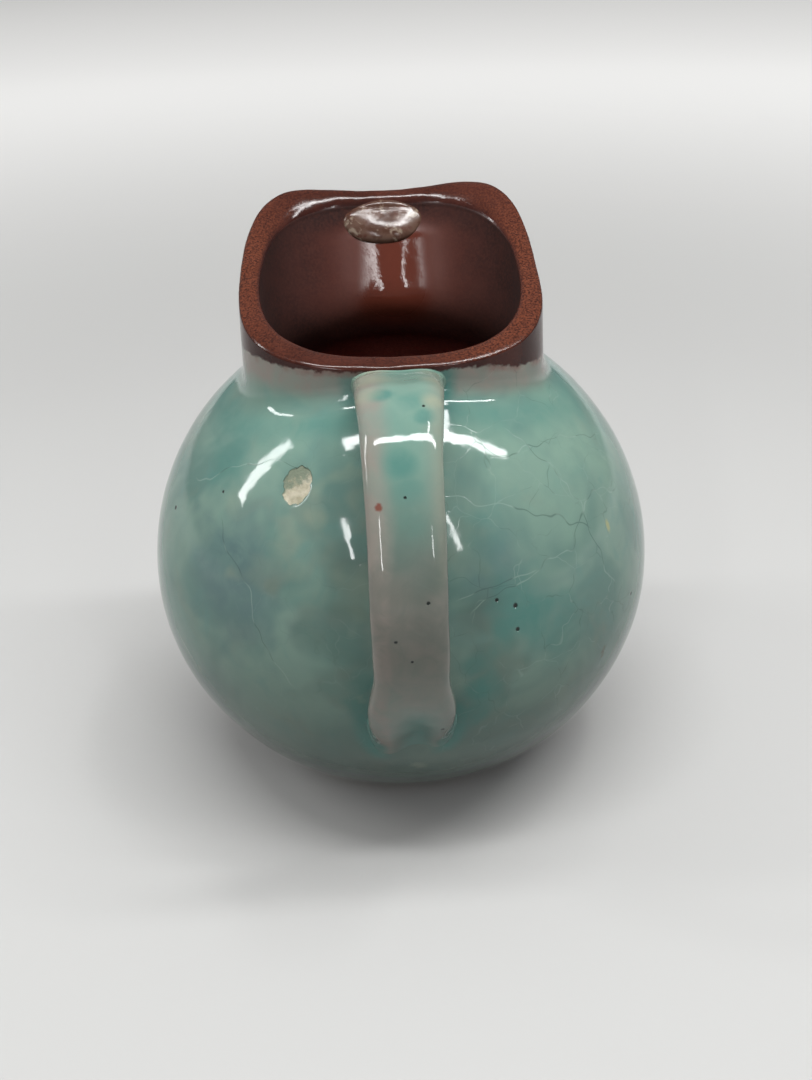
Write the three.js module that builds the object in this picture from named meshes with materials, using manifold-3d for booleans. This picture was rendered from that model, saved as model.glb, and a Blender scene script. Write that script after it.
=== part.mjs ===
// A small ball-shaped ceramic pitcher with a squared, upswept mouth and a strap handle.
// Millimetres, +Z up. The origin is the centre of the flat face that the pitcher stands on.
// +Y points to the pouring side, and the handle is on the -Y side.
// The clay pieces are luted together with slip, so their meeting faces follow each other
// with a thin joint between them.
import * as THREE from "three";
import { LoftGeometry } from "three/addons/geometries/LoftGeometry.js";
import { mergeVertices } from "three/addons/utils/BufferGeometryUtils.js";
import Module from "manifold-3d";

const GLOBE_RADIUS = 65;
const GLOBE_HEIGHT = 55; // the globe's centre above the table
const GLOBE_DROP = 60.5; // the lower half is a little flattened
const WALL = 5;
const JOINT = 0.3; // slip joint between two pieces of clay

const FOOT_THICKNESS = 3.2;
const FOOT_RADIUS = 27; // of the flat face it stands on
const FOOT_BEVEL = 0.8;

const MOUTH_HALF_WIDTH = 36.5;
const MOUTH_BACK = -30.5; // outer wall on the handle's side
const MOUTH_FRONT = 40.3; // outer edge of the rim on the pouring side
const THROAT_FRONT = 28; // outer wall on the pouring side, where it leaves the globe
const RIM_BACK_HEIGHT = 63.5; // rim above the globe's centre, on the handle's side
const RIM_FRONT_HEIGHT = 88.7; // and on the pouring side
const RIM_SWEEP = 1.14; // above 1, the rim rises faster towards the pouring side
const SQUARE_BACK = 2.6; // superellipse exponents: 2 is an ellipse, more is squarer
const SQUARE_FRONT = 3.9;

const HANDLE_HALF_WIDTH = 8.1; // in the middle of the strap
const HANDLE_SPREAD = 1.8; // how much wider each half is at its two ends
const HANDLE_HALF_THICKNESS = 3.2;
const HANDLE_SQUARENESS = 2.8;
// The strap's centre line, back and up from the globe's centre, from the collar to the belly.
const HANDLE_ROUTE = [
  [-28, 59.3],
  [-40, 61.3],
  [-50, 61.2],
  [-59, 57.1],
  [-67.5, 48.8],
  [-75, 38.2],
  [-78.4, 28],
  [-78.2, 19.2],
  [-75.6, 10],
  [-70.5, -1.2],
  [-64.6, -12],
  [-58, -23],
];

const AROUND = 64; // facets round the globe, the foot and the mouth
const ARC_STEPS = 11; // facets from the globe's equator to a pole
const HANDLE_STATIONS = 24;
const HANDLE_SECTION_POINTS = 14;
const MERGE_DISTANCE = 1e-3;

const turquoiseGlaze = new THREE.MeshStandardMaterial({ color: 0x6f8a82, roughness: 0.12, metalness: 0 });
const brownGlaze = new THREE.MeshStandardMaterial({ color: 0x6e3a2a, roughness: 0.2, metalness: 0 });
const bareClay = new THREE.MeshStandardMaterial({ color: 0xb9ad93, roughness: 0.8, metalness: 0 });

const wasm = await Module();
wasm.setup();

function closedSolid(geometry) {
  const bare = new THREE.BufferGeometry().setIndex(geometry.getIndex());
  bare.setAttribute("position", geometry.getAttribute("position"));
  const merged = mergeVertices(bare, MERGE_DISTANCE);
  const mesh = new wasm.Mesh({
    numProp: 3,
    vertProperties: merged.attributes.position.array,
    triVerts: new Uint32Array(merged.index.array),
  });
  return new wasm.Manifold(mesh);
}

function geometryOf(solid) {
  const mesh = solid.getMesh();
  const geometry = new THREE.BufferGeometry();
  geometry.setAttribute("position", new THREE.BufferAttribute(mesh.vertProperties, 3));
  geometry.setIndex(new THREE.BufferAttribute(mesh.triVerts, 1));
  geometry.computeVertexNormals();
  return geometry;
}

function signedPower(value, exponent) {
  return Math.sign(value) * Math.abs(value) ** exponent;
}

// Turns a profile of [radius, height] points about the globe's axis.
function turned(profile) {
  const points = profile.map(([radius, height]) => new THREE.Vector2(radius, height));
  return new THREE.LatheGeometry(points, AROUND).rotateX(Math.PI / 2);
}

// Points from the axis at the bottom to the axis at the top of a ball whose lower half is
// flattened, and which is cut off flat at `floor`. Heights are measured from the table.
function ballProfile(radius, drop, floor) {
  const cut = Math.asin((floor - GLOBE_HEIGHT) / drop);
  const profile = [[0, floor]];
  for (let step = 0; step < ARC_STEPS; step++) {
    const angle = cut * (1 - step / ARC_STEPS);
    profile.push([radius * Math.cos(angle), GLOBE_HEIGHT + drop * Math.sin(angle)]);
  }
  for (let step = 0; step < ARC_STEPS; step++) {
    const angle = (Math.PI / 2) * (step / ARC_STEPS);
    profile.push([radius * Math.cos(angle), GLOBE_HEIGHT + radius * Math.sin(angle)]);
  }
  profile.push([0, GLOBE_HEIGHT + radius]);
  return profile;
}

// A point on the squared outline of the mouth, `inset` inside its outer edge.
function mouthPoint(turn, front, inset) {
  const angle = turn * 2 * Math.PI;
  const squareness = THREE.MathUtils.lerp(SQUARE_BACK, SQUARE_FRONT, (1 + Math.sin(angle)) / 2);
  const halfDepth = (front - MOUTH_BACK) / 2 - inset;
  const x = (MOUTH_HALF_WIDTH - inset) * signedPower(Math.cos(angle), 2 / squareness);
  const y = (front + MOUTH_BACK) / 2 + halfDepth * signedPower(Math.sin(angle), 2 / squareness);
  return new THREE.Vector2(x, y);
}

function rimHeight(y) {
  const forward = THREE.MathUtils.clamp((y - MOUTH_BACK) / (MOUTH_FRONT - MOUTH_BACK), 0, 1);
  const height = THREE.MathUtils.lerp(RIM_BACK_HEIGHT, RIM_FRONT_HEIGHT, forward ** RIM_SWEEP);
  return GLOBE_HEIGHT + height;
}

// A point on the collar's wall: rise 0 is where it stands on the globe, rise 1 is the rim.
function collarPoint(turn, rise, inset, drop, clearance) {
  const low = mouthPoint(turn, THROAT_FRONT, inset);
  const high = mouthPoint(turn, MOUTH_FRONT, inset);
  const seat = GLOBE_RADIUS + clearance;
  const lowHeight = GLOBE_HEIGHT + Math.sqrt(seat ** 2 - low.lengthSq());
  const bottom = new THREE.Vector3(low.x, low.y, lowHeight);
  const top = new THREE.Vector3(high.x, high.y, rimHeight(high.y) - drop);
  return bottom.lerp(top, rise);
}

function ring(pointAt) {
  return Array.from({ length: AROUND }, (_, index) => pointAt(index / AROUND));
}

// The collar's closed section is swept round the mouth: outer wall, round rim, inner wall.
function collarGeometry() {
  const half = WALL / 2;
  const stations = [0, 0.35, 0.7].map((rise) => ({ rise, inset: 0, drop: half }));
  for (const angle of [0, 45, 90, 135, 180].map(THREE.MathUtils.degToRad)) {
    stations.push({ rise: 1, inset: half * (1 - Math.cos(angle)), drop: half * (1 - Math.sin(angle)) });
  }
  stations.push({ rise: 0.5, inset: WALL, drop: half });
  stations.push({ rise: 0, inset: WALL, drop: half });
  stations.push(stations[0]);
  const rings = stations.map(({ rise, inset, drop }) =>
    ring((turn) => collarPoint(turn, rise, inset, drop, JOINT)),
  );
  return new LoftGeometry(rings);
}

// The space that the collar takes up with its joint, filled in, for cutting the handle's root.
function collarBlank() {
  const sunk = GLOBE_RADIUS / 2;
  const rings = [0, 1].map((rise) =>
    ring((turn) => {
      const point = collarPoint(turn, rise, -JOINT, 0, 0);
      return point.setZ(rise === 0 ? point.z - sunk : point.z + WALL);
    }),
  );
  return closedSolid(new LoftGeometry(rings, { capStart: true, capEnd: true }));
}

// The hole through the top of the globe, flush with the collar's inner wall.
function throatBlank() {
  const rings = [GLOBE_HEIGHT, GLOBE_HEIGHT + GLOBE_RADIUS + WALL].map((height) =>
    ring((turn) => {
      const { x, y } = mouthPoint(turn, THROAT_FRONT, WALL);
      return new THREE.Vector3(x, y, height);
    }),
  );
  return closedSolid(new LoftGeometry(rings, { capStart: true, capEnd: true }));
}

function globeGeometry() {
  const floor = FOOT_THICKNESS + JOINT;
  const outside = closedSolid(turned(ballProfile(GLOBE_RADIUS, GLOBE_DROP, floor)));
  const hollow = closedSolid(turned(ballProfile(GLOBE_RADIUS - WALL, GLOBE_DROP - WALL, floor + WALL)));
  return geometryOf(outside.subtract(hollow).subtract(throatBlank()));
}

// The foot carries the globe's curve down to the flat face that it stands on.
function footGeometry() {
  const slope = Math.asin((FOOT_THICKNESS - GLOBE_HEIGHT) / GLOBE_DROP);
  const top = GLOBE_RADIUS * Math.cos(slope);
  const profile = [
    [0, 0],
    [FOOT_RADIUS, 0],
    [FOOT_RADIUS + FOOT_BEVEL, FOOT_BEVEL],
    [top, FOOT_THICKNESS],
    [0, FOOT_THICKNESS],
  ];
  return turned(profile);
}

function handleSection(centre, outward, along) {
  const end = Math.abs(2 * along - 1);
  const halfWidth = HANDLE_HALF_WIDTH + HANDLE_SPREAD * end ** 4;
  return Array.from({ length: HANDLE_SECTION_POINTS }, (_, index) => {
    const angle = (index / HANDLE_SECTION_POINTS) * 2 * Math.PI;
    const across = halfWidth * signedPower(Math.cos(angle), 2 / HANDLE_SQUARENESS);
    const through = HANDLE_HALF_THICKNESS * signedPower(Math.sin(angle), 2 / HANDLE_SQUARENESS);
    return centre.clone().addScaledVector(outward, through).add(new THREE.Vector3(across, 0, 0));
  });
}

function handleGeometry() {
  const points = HANDLE_ROUTE.map(([y, z]) => new THREE.Vector3(0, y, GLOBE_HEIGHT + z));
  const route = new THREE.CatmullRomCurve3(points, false, "centripetal");
  const sections = [];
  for (let station = 0; station <= HANDLE_STATIONS; station++) {
    const along = station / HANDLE_STATIONS;
    const tangent = route.getTangentAt(along);
    const outward = tangent.clone().cross(new THREE.Vector3(1, 0, 0));
    sections.push(handleSection(route.getPointAt(along), outward, along));
  }
  const strap = closedSolid(new LoftGeometry(sections, { capStart: true, capEnd: true }));
  const seat = closedSolid(turned(ballProfile(GLOBE_RADIUS + JOINT, GLOBE_DROP + JOINT, FOOT_THICKNESS)));
  return geometryOf(strap.subtract(seat).subtract(collarBlank()));
}

const pitcher = new THREE.Group();

function addPiece(name, geometry, material) {
  const piece = new THREE.Mesh(geometry, material);
  piece.name = name;
  pitcher.add(piece);
}

addPiece("globe_body", globeGeometry(), turquoiseGlaze);
addPiece("mouth_collar", collarGeometry(), brownGlaze);
addPiece("strap_handle", handleGeometry(), turquoiseGlaze);
addPiece("foot", footGeometry(), bareClay);

export default pitcher;
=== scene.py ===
"""A small ball-shaped glazed pitcher with a squared mouth: its looks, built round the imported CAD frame.

Geometry is worked out in millimetres in the frame's axes (+Z up, +Y to the pouring side) and
turned into metres where a mesh is made. Heights marked as "above the centre" are measured from
the middle of the globe.
"""
import math
from functools import reduce
import bpy
import numpy as np
from mathutils import Matrix, Quaternion, Vector, noise
from mathutils.bvhtree import BVHTree


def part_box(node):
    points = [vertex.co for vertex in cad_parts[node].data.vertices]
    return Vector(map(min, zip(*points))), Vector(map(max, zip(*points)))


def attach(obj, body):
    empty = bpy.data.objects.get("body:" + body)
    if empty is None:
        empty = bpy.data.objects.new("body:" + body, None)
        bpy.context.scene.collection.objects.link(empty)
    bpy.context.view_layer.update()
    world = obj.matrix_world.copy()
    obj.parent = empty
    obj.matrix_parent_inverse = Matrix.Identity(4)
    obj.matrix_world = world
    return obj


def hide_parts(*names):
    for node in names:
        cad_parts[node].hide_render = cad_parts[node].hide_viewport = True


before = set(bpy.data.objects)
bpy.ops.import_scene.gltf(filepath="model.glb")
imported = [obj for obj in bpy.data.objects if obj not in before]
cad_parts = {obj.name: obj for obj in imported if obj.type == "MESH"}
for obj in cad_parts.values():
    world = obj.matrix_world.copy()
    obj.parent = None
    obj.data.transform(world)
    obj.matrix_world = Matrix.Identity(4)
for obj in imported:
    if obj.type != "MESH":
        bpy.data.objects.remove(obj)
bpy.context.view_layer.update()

MM = 0.001  # metres in a millimetre

# -------- sizes, from the frame, in mm
globe_low, globe_high = (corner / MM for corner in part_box("globe_body"))
collar_low, collar_high = (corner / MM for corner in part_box("mouth_collar"))

GLOBE_RADIUS = (globe_high.x - globe_low.x) / 2
GLOBE_HEIGHT = 55.0  # the globe's centre above the table
GLOBE_DROP = 60.5  # vertical radius of the flattened lower half
GLOBE_CENTRE = np.array([0, 0, GLOBE_HEIGHT])
WALL = 5.0
SOLE = globe_low.z  # where the globe stands on its foot

MOUTH_HALF_WIDTH = (collar_high.x - collar_low.x) / 2 + 0.2
MOUTH_BACK = collar_low.y
MOUTH_FRONT = collar_high.y
MOUTH_SHIFT = -0.8  # it is set a little to one side
THROAT_FRONT = 27.0
RIM_BACK_HEIGHT = GLOBE_HEIGHT + 63.9
RIM_FRONT_HEIGHT = collar_high.z + 1.3
RIM_SWEEP = 1.1
RIM_BACK_CROWN, RIM_FRONT_CROWN = 1.2, 2.3  # how far its top stands above its two edges
RIM_BACK_SQUARE, RIM_FRONT_SQUARE = 3.0, 2.2  # its section: 2 is round, more is flatter
CORNER_RISE_RIGHT, CORNER_RISE_LEFT, FRONT_DIP = 3.5, 2.5, 0.6  # of the rim's outer edge
INNER_RISE_RIGHT, INNER_DIP = 1.2, 0.8  # of its inner edge
SIDE_PUSH_OUTER, SIDE_PUSH_INNER, CORNER_PUSH_INNER = 0.9, 1.2, 1.2  # sideways, at the left and the right
# outlines seen from above: half width, back, front, squareness at the back and at the front
# (2 is an ellipse, more is squarer)
NECK_OUTLINE = (MOUTH_HALF_WIDTH + 0.2, MOUTH_BACK, THROAT_FRONT, 2.6, 3.4)
OUTER_OUTLINE = (MOUTH_HALF_WIDTH, MOUTH_BACK, MOUTH_FRONT, 2.6, 3.9)
INNER_OUTLINE = (MOUTH_HALF_WIDTH - 4.8, MOUTH_BACK + 4.7, MOUTH_FRONT - 4.6, 2.5, 2.7)
THROAT_OUTLINE = (MOUTH_HALF_WIDTH - WALL - 1.2, MOUTH_BACK + WALL, THROAT_FRONT - WALL, 2.5, 2.8)
NECK_FILLET = 3.8
THROAT_FILLET = 13.0
SWELL_DEPTH = 3.0  # the inner wall stands proud by this much, on the pouring side
SWELL_MIDDLE, SWELL_HALF_WIDTH = 1.4, 6.4

# -------- how finely the vessel is divided
AROUND = 432  # columns round the vessel
SOLE_ROWS, FLOOR_ROWS = 7, 7
LOWER_ROWS, UPPER_ROWS = 60, 84
FILLET_ROWS, WALL_ROWS, RIM_ROWS = 12, 20, 31
INNER_WALL_ROWS, THROAT_ROWS, INSIDE_ROWS = 40, 13, 34

# -------- the handle
# centre line of the strap, from the mouth to the belly: (x, y, height above the centre)
HANDLE_ROUTE = [
    (-0.9, -27.5, 59.5), (-1.1, -38, 61.2), (-1.4, -46, 61.9), (-1.6, -53, 60.7), (-1.85, -59.2, 57),
    (-2, -65.2, 51.2), (-2.1, -71, 44.4), (-2.2, -75.8, 36.6), (-2.2, -78.4, 28), (-2.1, -78.3, 19.4),
    (-2, -76, 11), (-1.9, -72.5, 3), (-1.85, -68.2, -5), (-1.8, -63.2, -13), (-1.7, -57, -22),
]
HANDLE_HALF_WIDTH = 8.1
ROOT_SPREAD, FOOT_SPREAD = 2.2, 1.8  # how much each half widens at its two ends
FOOT_ROUNDING = 3.0  # and how much the foot narrows again at its very end
HANDLE_HALF_THICKNESS = 3.2
FOOT_THINNING = 0.5
HOLLOW_DEPTH, EDGE_DROP, HOLLOW_HALF_WIDTH = 0.4, 0.25, 2.6  # along the outer face
FOOT_HOLLOW_DEPTH, FOOT_HOLLOW_HALF_WIDTH = 1.2, 2.8  # between the foot's two lobes
HANDLE_SQUARENESS = 2.9
HANDLE_COLUMNS = 96
HANDLE_STATIONS = 300
SUNK = 2.0  # how far the handle's ends reach into the clay
ROOT_FILLET_RIGHT, ROOT_FILLET_LEFT, ROOT_FILLET_OUTER = 0.7, 0.5, 0.3
FOOT_FILLET, FILLET_INNER = 1.6, 2.5
FILLET_HEIGHT, FILLET_CURVE = 1.6, 2.6  # how high a fillet climbs, for its width, and how fast it thins
FILLET_LIFT = 6.0  # how much the fillets lead up and down rather than sideways
STRAP_BROAD_WAVES, STRAP_SMALL_WAVES = 0.22, 0.08
TINY = 1e-9  # keeps a length from being zero


# -------- small helpers
def signed_power(value, exponent):
    return np.sign(value) * np.abs(value) ** exponent


def smoothstep(low, high, value):
    share = np.clip((value - low) / (high - low), 0.0, 1.0)
    return share * share * (3.0 - 2.0 * share)


def bump(value, centre, width):
    """A bell curve, 1 at its centre."""
    return np.exp(-0.5 * ((value - centre) / width) ** 2)


def angle_bump(angle, centre_degrees, width_degrees):
    away = (angle - math.radians(centre_degrees) + math.pi) % (2 * math.pi) - math.pi
    return np.exp(-0.5 * (away / math.radians(width_degrees)) ** 2)


def mix(start, end, share):
    return start + (end - start) * share


def turns(count):
    """Angles that divide a full turn."""
    return np.linspace(0, 2 * math.pi, count, endpoint=False)


def unit(vectors):
    return vectors / np.linalg.norm(vectors, axis=-1, keepdims=True)


def wobble(points, size, seed):
    """Smooth noise, about -1 to 1, at each point, with features about `size` mm across."""
    shift = Vector((seed * 17.3, seed * 5.1, seed * 9.7))
    flat = points.reshape(-1, 3) / size
    values = [noise.noise(Vector(point) + shift) for point in flat]
    return np.array(values).reshape(points.shape[:-1])


def direction(azimuth, latitude):
    """A unit vector: degrees from the handle's side, to the right of it, and degrees up."""
    turn, rise = math.radians(azimuth), math.radians(latitude)
    return np.array([
        math.sin(turn) * math.cos(rise), -math.cos(turn) * math.cos(rise), math.sin(rise),
    ])


def on_globe(azimuth, latitude):
    """A point on the globe's skin."""
    reach = GLOBE_DROP if latitude < 0 else GLOBE_RADIUS
    return GLOBE_CENTRE + direction(azimuth, latitude) * [GLOBE_RADIUS, GLOBE_RADIUS, reach]


# -------- making meshes
def grid_faces(rows, columns, closed=False):
    """Quads of a grid whose rows close on themselves; a closed grid also joins its last row to its first."""
    faces = []
    for row in range(rows if closed else rows - 1):
        low, high = row * columns, (row + 1) % rows * columns
        for column in range(columns):
            after = (column + 1) % columns
            faces.append((low + column, low + after, high + after, high + column))
    return faces


def grid_normals(grid):
    around = np.roll(grid, -1, axis=1) - np.roll(grid, 1, axis=1)
    along = np.gradient(grid, axis=0)
    return unit(np.cross(around, along))


def add_object(name, data):
    item = bpy.data.objects.new(name, data)
    bpy.context.scene.collection.objects.link(item)
    return item


def closed_piece(name, grid, normals, fields, looped=False):
    """A closed mesh from rows of points, with its own vertex normals and one attribute for each field."""
    rows, columns = grid.shape[:2]
    points = grid.reshape(-1, 3)
    normals = normals.reshape(-1, 3)
    faces = grid_faces(rows, columns, looped)
    if not looped:
        for row, step in ((0, -1), (rows - 1, 1)):
            start, centre = row * columns, len(points)
            cap = [(start + c, start + (c + 1) % columns, centre) for c in range(columns)]
            faces += cap if step > 0 else [face[::-1] for face in cap]
            points = np.vstack([points, grid[row].mean(axis=0)])
            normals = np.vstack([normals, unit(normals[start:start + columns].mean(axis=0))])
    mesh = bpy.data.meshes.new(name)
    mesh.from_pydata((points * MM).tolist(), [], faces)
    mesh.shade_smooth()
    mesh.normals_split_custom_set_from_vertices(normals.tolist())
    for field, values in fields.items():
        flat = np.zeros(len(points), np.float32)
        flat[:rows * columns] = np.asarray(values, np.float32).reshape(-1)
        mesh.attributes.new(field, "FLOAT", "POINT").data.foreach_set("value", flat)
    return add_object(name, mesh)


# -------- the vessel's surface
def outline(angle, half_width, back, front, square_back, square_front):
    """A squared ring seen from above; `angle` is measured about its own middle."""
    squareness = mix(square_back, square_front, (1 + np.sin(angle)) / 2)
    half_depth = (front - back) / 2
    across = np.abs(np.cos(angle) / half_width) ** squareness
    deep = np.abs(np.sin(angle) / half_depth) ** squareness
    radius = (across + deep) ** (-1 / squareness)
    across, deep = radius * np.cos(angle), radius * np.sin(angle)
    return np.stack([MOUTH_SHIFT + across, (front + back) / 2 + deep], axis=1)


def rim_height(y):
    forward = np.clip((y - MOUTH_BACK) / (MOUTH_FRONT - MOUTH_BACK), 0.0, 1.0)
    return mix(RIM_BACK_HEIGHT, RIM_FRONT_HEIGHT, forward ** RIM_SWEEP)


def on_ball(plane, radius):
    """Lifts points given from above onto the upper half of a ball about the globe's centre."""
    height = np.sqrt(radius ** 2 - (plane ** 2).sum(axis=1))
    return np.column_stack([plane, GLOBE_HEIGHT + height])


def between_on_ball(start, end, share, radius):
    """Points along the great circles from `start` to `end`, all on a ball."""
    one, two = (start - GLOBE_CENTRE) / radius, (end - GLOBE_CENTRE) / radius
    turn = np.arccos(np.clip((one * two).sum(axis=1), -1, 1))[:, None]
    both = np.sin((1 - share) * turn) * one + np.sin(share * turn) * two
    return GLOBE_CENTRE + radius * both / np.sin(turn)


def round_corner(before, corner, after, steps):
    """Rings along a quadratic curve that rounds off a corner."""
    shares = np.linspace(0, 1, steps)
    return [(1 - s) ** 2 * before + 2 * s * (1 - s) * corner + s ** 2 * after for s in shares]


def ball_ring(angle, radius, drop, latitude):
    reach = drop if latitude < 0 else radius
    height = np.full(len(angle), GLOBE_HEIGHT + reach * math.sin(latitude))
    spread = radius * math.cos(latitude)
    return np.column_stack([spread * np.cos(angle), spread * np.sin(angle), height])


def flat_rings(edge, steps):
    """Rings that shrink from an edge ring towards its middle, without the middle point."""
    middle = edge.mean(axis=0)
    return [mix(edge, middle, share) for share in np.linspace(0, 1, steps + 1)[1:-1]]


def mouth_lines(angle):
    """The rings that the mouth is drawn between: its foot on the globe, the rim's two edges, the throat."""
    right, left = angle_bump(angle, 46, 15), angle_bump(angle, 129, 13)
    left_side = angle_bump(angle, 152, 17)
    far = smoothstep(0.2, 1.0, np.sin(angle))
    foot = on_ball(outline(angle, *NECK_OUTLINE), GLOBE_RADIUS)
    crown = mix(RIM_BACK_CROWN, RIM_FRONT_CROWN, far)
    outer = outline(angle, *OUTER_OUTLINE)
    outer[:, 0] += SIDE_PUSH_OUTER * left_side
    corners = CORNER_RISE_RIGHT * right
    outer_height = rim_height(outer[:, 1]) + corners + CORNER_RISE_LEFT * left - FRONT_DIP * far
    inner = outline(angle, *INNER_OUTLINE)
    inner[:, 0] += SIDE_PUSH_INNER * left_side - CORNER_PUSH_INNER * right
    inner_height = rim_height(inner[:, 1]) + INNER_RISE_RIGHT * right - INNER_DIP * far
    throat = on_ball(outline(angle, *THROAT_OUTLINE), GLOBE_RADIUS - WALL)
    outer_edge = np.column_stack([outer, outer_height - crown])
    inner_edge = np.column_stack([inner, inner_height - crown])
    return foot, outer_edge, inner_edge, throat, crown, far


def outside_rings(angle, foot, outer_edge):
    """Under the floor, up the globe, over the fillet and up the collar to the rim."""
    cut = math.asin((SOLE - GLOBE_HEIGHT) / GLOBE_DROP)
    rings = flat_rings(ball_ring(angle, GLOBE_RADIUS, GLOBE_DROP, cut), SOLE_ROWS)[::-1]
    for latitude in np.linspace(cut, 0, LOWER_ROWS)[:-1]:
        rings.append(ball_ring(angle, GLOBE_RADIUS, GLOBE_DROP, latitude))
    equator = ball_ring(angle, GLOBE_RADIUS, GLOBE_DROP, 0)
    leave = (1 - NECK_FILLET / np.linalg.norm(foot - equator, axis=1))[:, None]
    for share in np.linspace(0, 1, UPPER_ROWS)[:-1]:
        rings.append(between_on_ball(equator, foot, share * leave, GLOBE_RADIUS))
    seam = len(rings)
    height = np.linalg.norm(outer_edge - foot, axis=1)
    climb = np.minimum(NECK_FILLET / height, 0.6)[:, None]
    below = between_on_ball(equator, foot, leave, GLOBE_RADIUS)
    rings += round_corner(below, foot, mix(foot, outer_edge, climb), FILLET_ROWS)
    for share in np.linspace(0, 1, WALL_ROWS)[1:-1]:
        rings.append(mix(foot, outer_edge, climb + (1 - climb) * share))
    return rings, seam


def rim_rings(outer_edge, inner_edge, crown, far):
    """The rim's section: flat-topped at the back and the sides, round at the front."""
    power = 2 / mix(RIM_BACK_SQUARE, RIM_FRONT_SQUARE, far)
    rings = []
    for turn in np.linspace(0, math.pi, RIM_ROWS):
        across = ((1 - signed_power(math.cos(turn), power)) / 2)[:, None]
        ring = mix(outer_edge, inner_edge, across)
        ring[:, 2] += crown * math.sin(turn) ** power
        rings.append(ring)
    return rings


def inside_rings(angle, inner_edge, throat):
    """Down the inner wall, round the throat, and down the inside of the globe to its floor."""
    radius, drop = GLOBE_RADIUS - WALL, GLOBE_DROP - WALL
    equator = ball_ring(angle, radius, drop, 0)
    turn_in = 1 - np.minimum(THROAT_FILLET / np.linalg.norm(inner_edge - throat, axis=1), 0.6)[:, None]
    enter = (1 - THROAT_FILLET / np.linalg.norm(throat - equator, axis=1))[:, None]
    rings = [
        mix(inner_edge, throat, turn_in * share) for share in np.linspace(0, 1, INNER_WALL_ROWS)[1:-1]
    ]
    below = between_on_ball(equator, throat, enter, radius)
    rings += round_corner(mix(inner_edge, throat, turn_in), throat, below, THROAT_ROWS)
    seam = len(rings) - 1
    for ring in rings:
        press_front(ring, inner_edge)
    for share in np.linspace(1, 0, INSIDE_ROWS)[1:]:
        rings.append(between_on_ball(equator, throat, enter * share, radius))
    cut = math.asin((SOLE + WALL - GLOBE_HEIGHT) / drop)
    for latitude in np.linspace(0, cut, INSIDE_ROWS)[1:]:
        rings.append(ball_ring(angle, radius, drop, latitude))
    return rings + flat_rings(rings[-1], FLOOR_ROWS), seam


def front_swell(points, inner_edge, width):
    """Where the inner wall stands proud, 0 to 1: the middle of the pouring side, below the rim."""
    fall = inner_edge[:, 2] - points[..., 2]
    window = smoothstep(1, 7, fall) * (1 - smoothstep(19, 38, fall)) * smoothstep(5, 15, points[..., 1])
    return window * bump(points[..., 0], SWELL_MIDDLE, width)


def press_front(ring, inner_edge):
    """Brings the inner wall forward on the pouring side."""
    ring[:, 1] -= SWELL_DEPTH * front_swell(ring, inner_edge, SWELL_HALF_WIDTH)


# how far the hand-made surface strays, in mm
BROAD_WAVES, SMALL_WAVES, RIM_WAVES = 0.32, 0.07, 0.16


class Skin:
    """The vessel's one closed skin as rows of points, and what its rows are."""

    def __init__(self):
        self.angle = turns(AROUND)
        foot, outer_edge, inner_edge, throat, crown, far = mouth_lines(self.angle)
        outside, self.seam_out = outside_rings(self.angle, foot, outer_edge)
        rim = rim_rings(outer_edge, inner_edge, crown, far)
        inside, seam = inside_rings(self.angle, inner_edge, throat)
        self.rim_first = len(outside)
        self.rim_last = self.rim_first + len(rim) - 1
        self.seam_in = self.rim_last + 1 + seam
        self.far = far
        self.inner_edge = inner_edge
        self.points = np.array(outside + rim + inside)
        self.shape_by_hand()
        self.normals = grid_normals(self.points)

    def shape_by_hand(self):
        """The small unevenness of a hand-made pot, a rougher rim, and a flake chipped off the glaze."""
        normals = grid_normals(self.points)
        free = smoothstep(SOLE, SOLE + 10, self.points[:, :, 2])
        push = BROAD_WAVES * wobble(self.points, 34, 1) + SMALL_WAVES * wobble(self.points, 11, 2)
        rows = np.arange(len(self.points))
        on_rim = bump(rows, (self.rim_first + self.rim_last) / 2, RIM_ROWS / 3)[:, None]
        push += RIM_WAVES * on_rim * wobble(self.points, 5, 3)
        outside = (rows < self.seam_out)[:, None]
        push -= CHIP_DEPTH * outside * chip_share(self.points)
        self.points = self.points + normals * (push * free)[:, :, None]


# -------- the flake chipped off the glaze
CHIP_CENTRE = on_globe(-30, 40)
CHIP_HALF_WIDTH, CHIP_HALF_HEIGHT = 3.5, 4.9
CHIP_DEPTH = 0.45


def chip_axes():
    outward = unit(CHIP_CENTRE - GLOBE_CENTRE)
    right = unit(np.cross([0, 0, 1.0], outward))
    return right, np.cross(outward, right)


def chip_share(points):
    right, up = chip_axes()
    away = points - CHIP_CENTRE
    across, rise = away @ right / CHIP_HALF_WIDTH, away @ up / CHIP_HALF_HEIGHT
    near = 1 - smoothstep(0.8, 1.1, np.sqrt(across ** 2 + rise ** 2))
    return near * (1 - 0.6 * smoothstep(-0.2, 1.0, rise))


# -------- the handle
def spline(points, samples):
    """Evenly spaced points along a Catmull-Rom curve through the given points."""
    padded = np.array([2 * points[0] - points[1], *points, 2 * points[-1] - points[-2]])
    dense = []
    for index in range(1, len(padded) - 2):
        a, b, c, d = padded[index - 1:index + 3]
        for s in np.linspace(0, 1, 40, endpoint=False):
            square, cube = (2 * a - 5 * b + 4 * c - d) * s ** 2, (3 * b - a - 3 * c + d) * s ** 3
            dense.append(0.5 * (2 * b + (c - a) * s + square + cube))
    dense = np.array(dense + [padded[-2]])
    length = np.concatenate([[0], np.cumsum(np.linalg.norm(np.diff(dense, axis=0), axis=1))])
    even = np.linspace(0, length[-1], samples)
    return np.column_stack([np.interp(even, length, dense[:, axis]) for axis in range(3)])


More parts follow.
